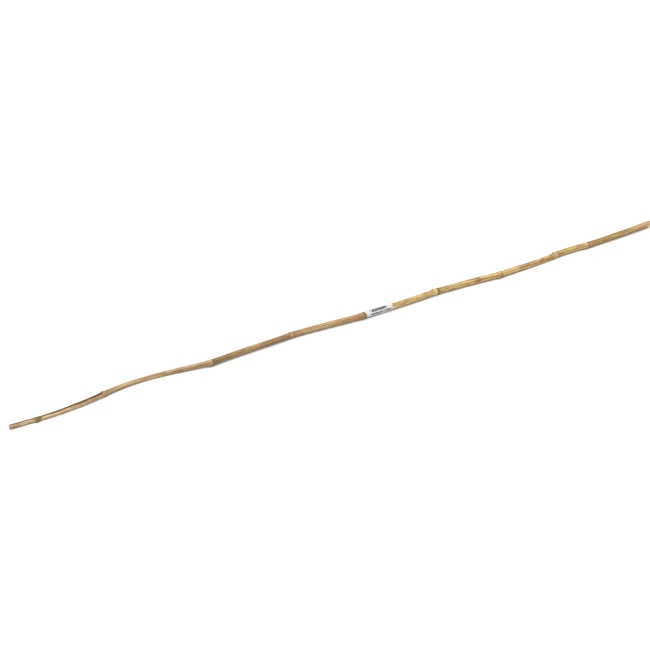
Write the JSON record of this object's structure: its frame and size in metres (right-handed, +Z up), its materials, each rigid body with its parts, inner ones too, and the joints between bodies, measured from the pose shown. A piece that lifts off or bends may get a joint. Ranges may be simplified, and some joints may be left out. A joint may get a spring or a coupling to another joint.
{
  "type": "bamboo cane",
  "caption": "Slender natural bamboo cane for plant support, with ridged nodes, trimmed buds, sawn ends and a paper label wrapped round its middle, lying on its side.",
  "frame": {"origin": "on the surface that the cane lies on, under the middle of its bounding box", "axes": "+X along the cane towards its thick base end, +Z up"},
  "size_m": [1.2004, 0.035, 0.012],
  "materials": {
    "bamboo": "dried bamboo skin, straw to brown, satin",
    "label_paper": "white coated paper"
  },
  "bodies": {
    "root": {"cane": "bamboo", "label": "label_paper"}
  },
  "joints": []
}
